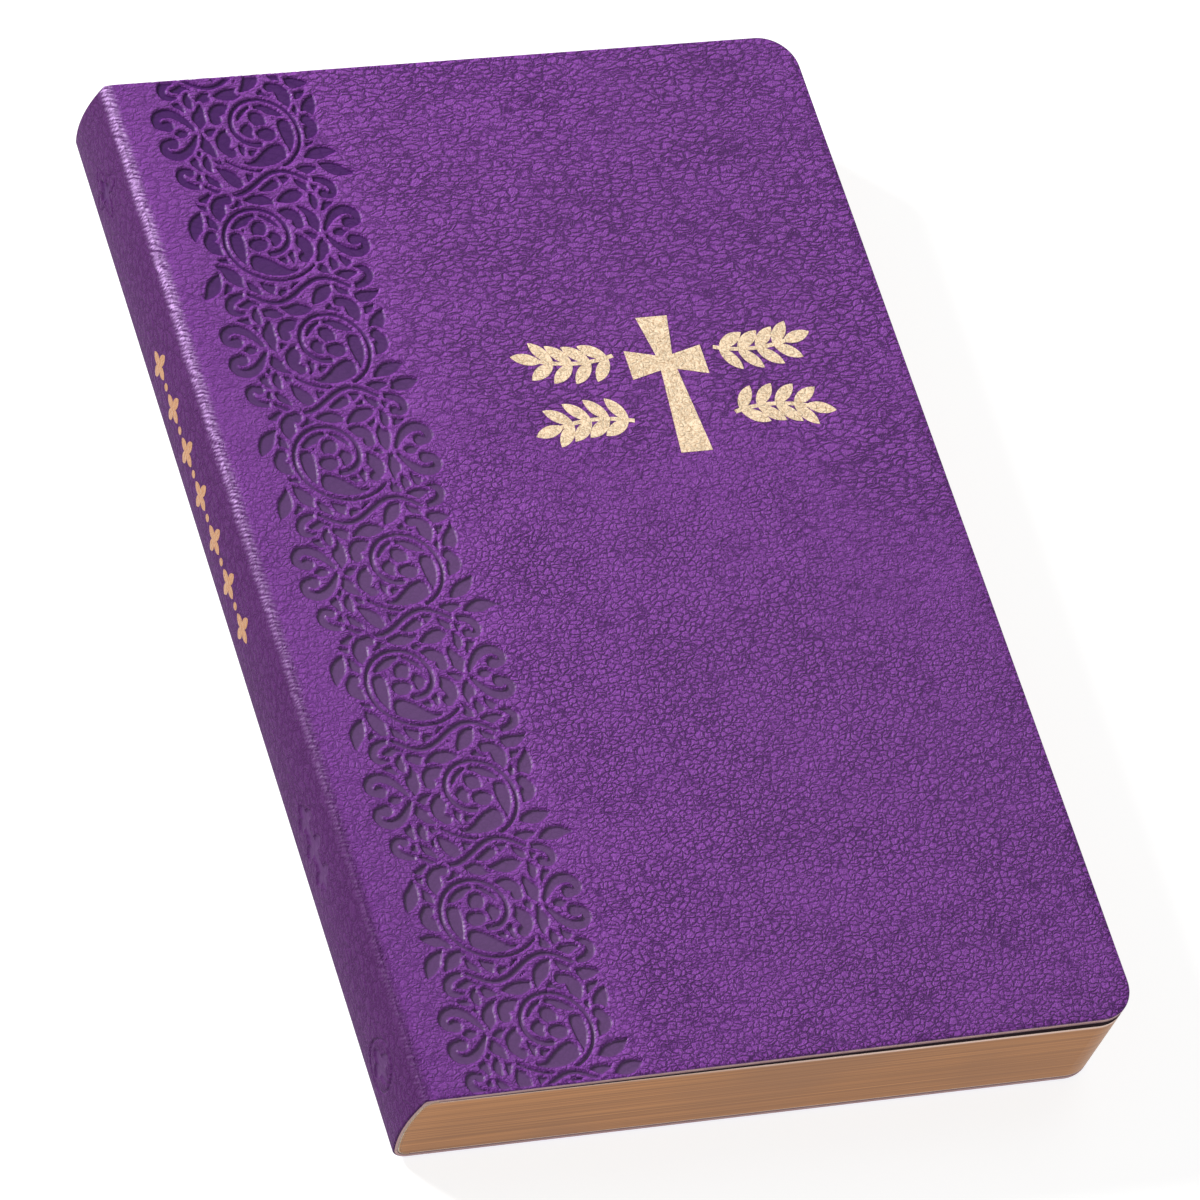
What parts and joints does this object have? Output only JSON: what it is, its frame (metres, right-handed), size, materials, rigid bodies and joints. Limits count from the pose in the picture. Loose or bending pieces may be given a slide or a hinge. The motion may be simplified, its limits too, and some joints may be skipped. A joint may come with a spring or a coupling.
{
  "type": "soft-covered bible",
  "caption": "Limp-bound thick book with a wrap-round embossed cover, rounded spine, gilt edges, rounded fore-edge corners and a foil cross emblem; covers and sections turn.",
  "frame": {"origin": "middle of the closed book's footprint, on the back cover's outer face", "axes": "+X from spine to fore-edge, +Y from tail to head, +Z from back cover to front cover"},
  "size_m": [0.137, 0.21, 0.0214],
  "materials": {
    "cover_leather": "embossed grain, satin",
    "foil": "hot-stamped gold foil, satin",
    "lining_card": "grey-brown card",
    "endpaper": "smooth uncoated off-white",
    "leaves": "thin bible paper with gilt edges",
    "thread": "waxed linen thread",
    "lining_paper": "brown kraft",
    "mull": "open starched cotton",
    "glue": "flexible clear adhesive"
  },
  "bodies": {
    "back_cover": {"back_cover": "cover_leather", "back_lining_card": "lining_card", "back_pastedown": "endpaper", "back_flyleaf": "endpaper", "spine_cover": "cover_leather", "spine_ornament_foil": "foil", "spine_paper_lining": "lining_paper", "spine_mull": "mull", "spine_glue": "glue"},
    "section_16": {"section_16": "leaves", "thread_16": "thread"},
    "section_15": {"section_15": "leaves", "thread_15": "thread"},
    "section_14": {"section_14": "leaves", "thread_14": "thread"},
    "section_13": {"section_13": "leaves", "thread_13": "thread"},
    "section_12": {"section_12": "leaves", "thread_12": "thread"},
    "section_11": {"section_11": "leaves", "thread_11": "thread"},
    "section_10": {"section_10": "leaves", "thread_10": "thread"},
    "section_09": {"section_09": "leaves", "thread_09": "thread"},
    "section_08": {"section_08": "leaves", "thread_08": "thread"},
    "section_07": {"section_07": "leaves", "thread_07": "thread"},
    "section_06": {"section_06": "leaves", "thread_06": "thread"},
    "section_05": {"section_05": "leaves", "thread_05": "thread"},
    "section_04": {"section_04": "leaves", "thread_04": "thread"},
    "section_03": {"section_03": "leaves", "thread_03": "thread"},
    "section_02": {"section_02": "leaves", "thread_02": "thread"},
    "section_01": {"section_01": "leaves", "thread_01": "thread"},
    "front_flyleaf": {"front_flyleaf": "endpaper"},
    "front_cover": {"front_cover": "cover_leather", "front_lining_card": "lining_card", "front_pastedown": "endpaper", "front_emblem_foil": "foil"}
  },
  "joints": [
    {"name": "section_16_turn", "type": "hinge", "parent": "back_cover", "child": "section_16", "pos_m": [-0.0685, 0, 0.0014], "axis": [0, -1, 0], "range_deg": [0, 11.25], "deforming": ["spine_cover", "spine_ornament_foil", "spine_paper_lining", "spine_mull", "spine_glue"]},
    {"name": "section_15_turn", "type": "hinge", "parent": "section_16", "child": "section_15", "pos_m": [-0.0685, 0, 0.00248], "axis": [0, -1, 0], "range_deg": [0, 11.25]},
    {"name": "section_14_turn", "type": "hinge", "parent": "section_15", "child": "section_14", "pos_m": [-0.0685, 0, 0.00355], "axis": [0, -1, 0], "range_deg": [0, 11.25]},
    {"name": "section_13_turn", "type": "hinge", "parent": "section_14", "child": "section_13", "pos_m": [-0.0685, 0, 0.00462], "axis": [0, -1, 0], "range_deg": [0, 11.25]},
    {"name": "section_12_turn", "type": "hinge", "parent": "section_13", "child": "section_12", "pos_m": [-0.0685, 0, 0.0057], "axis": [0, -1, 0], "range_deg": [0, 11.25]},
    {"name": "section_11_turn", "type": "hinge", "parent": "section_12", "child": "section_11", "pos_m": [-0.0685, 0, 0.00677], "axis": [0, -1, 0], "range_deg": [0, 11.25]},
    {"name": "section_10_turn", "type": "hinge", "parent": "section_11", "child": "section_10", "pos_m": [-0.0685, 0, 0.00785], "axis": [0, -1, 0], "range_deg": [0, 11.25]},
    {"name": "section_09_turn", "type": "hinge", "parent": "section_10", "child": "section_09", "pos_m": [-0.0685, 0, 0.00893], "axis": [0, -1, 0], "range_deg": [0, 11.25]},
    {"name": "section_08_turn", "type": "hinge", "parent": "section_09", "child": "section_08", "pos_m": [-0.0685, 0, 0.01], "axis": [0, -1, 0], "range_deg": [0, 11.25]},
    {"name": "section_07_turn", "type": "hinge", "parent": "section_08", "child": "section_07", "pos_m": [-0.0685, 0, 0.01107], "axis": [0, -1, 0], "range_deg": [0, 11.25]},
    {"name": "section_06_turn", "type": "hinge", "parent": "section_07", "child": "section_06", "pos_m": [-0.0685, 0, 0.01215], "axis": [0, -1, 0], "range_deg": [0, 11.25]},
    {"name": "section_05_turn", "type": "hinge", "parent": "section_06", "child": "section_05", "pos_m": [-0.0685, 0, 0.01323], "axis": [0, -1, 0], "range_deg": [0, 11.25]},
    {"name": "section_04_turn", "type": "hinge", "parent": "section_05", "child": "section_04", "pos_m": [-0.0685, 0, 0.0143], "axis": [0, -1, 0], "range_deg": [0, 11.25]},
    {"name": "section_03_turn", "type": "hinge", "parent": "section_04", "child": "section_03", "pos_m": [-0.0685, 0, 0.01537], "axis": [0, -1, 0], "range_deg": [0, 11.25]},
    {"name": "section_02_turn", "type": "hinge", "parent": "section_03", "child": "section_02", "pos_m": [-0.0685, 0, 0.01645], "axis": [0, -1, 0], "range_deg": [0, 11.25]},
    {"name": "section_01_turn", "type": "hinge", "parent": "section_02", "child": "section_01", "pos_m": [-0.0685, 0, 0.01752], "axis": [0, -1, 0], "range_deg": [0, 11.25]},
    {"name": "front_cover_turn", "type": "hinge", "parent": "section_01", "child": "front_cover", "pos_m": [-0.06411, 0, 0.02], "axis": [0, -1, 0], "range_deg": [0, 178]},
    {"name": "front_flyleaf_turn", "type": "hinge", "parent": "section_01", "child": "front_flyleaf", "pos_m": [-0.06401, 0, 0.01875], "axis": [0, -1, 0], "range_deg": [0, 30]}
  ],
  "couplings": [
    {"joint": "section_15_turn", "follows": "section_16_turn", "ratio": 1},
    {"joint": "section_14_turn", "follows": "section_16_turn", "ratio": 1},
    {"joint": "section_13_turn", "follows": "section_16_turn", "ratio": 1},
    {"joint": "section_12_turn", "follows": "section_16_turn", "ratio": 1},
    {"joint": "section_11_turn", "follows": "section_16_turn", "ratio": 1},
    {"joint": "section_10_turn", "follows": "section_16_turn", "ratio": 1},
    {"joint": "section_09_turn", "follows": "section_16_turn", "ratio": 1},
    {"joint": "section_08_turn", "follows": "section_16_turn", "ratio": 1},
    {"joint": "section_07_turn", "follows": "section_16_turn", "ratio": 1},
    {"joint": "section_06_turn", "follows": "section_16_turn", "ratio": 1},
    {"joint": "section_05_turn", "follows": "section_16_turn", "ratio": 1},
    {"joint": "section_04_turn", "follows": "section_16_turn", "ratio": 1},
    {"joint": "section_03_turn", "follows": "section_16_turn", "ratio": 1},
    {"joint": "section_02_turn", "follows": "section_16_turn", "ratio": 1},
    {"joint": "section_01_turn", "follows": "section_16_turn", "ratio": 1},
    {"joint": "front_flyleaf_turn", "follows": "front_cover_turn", "ratio": 0.15}
  ]
}
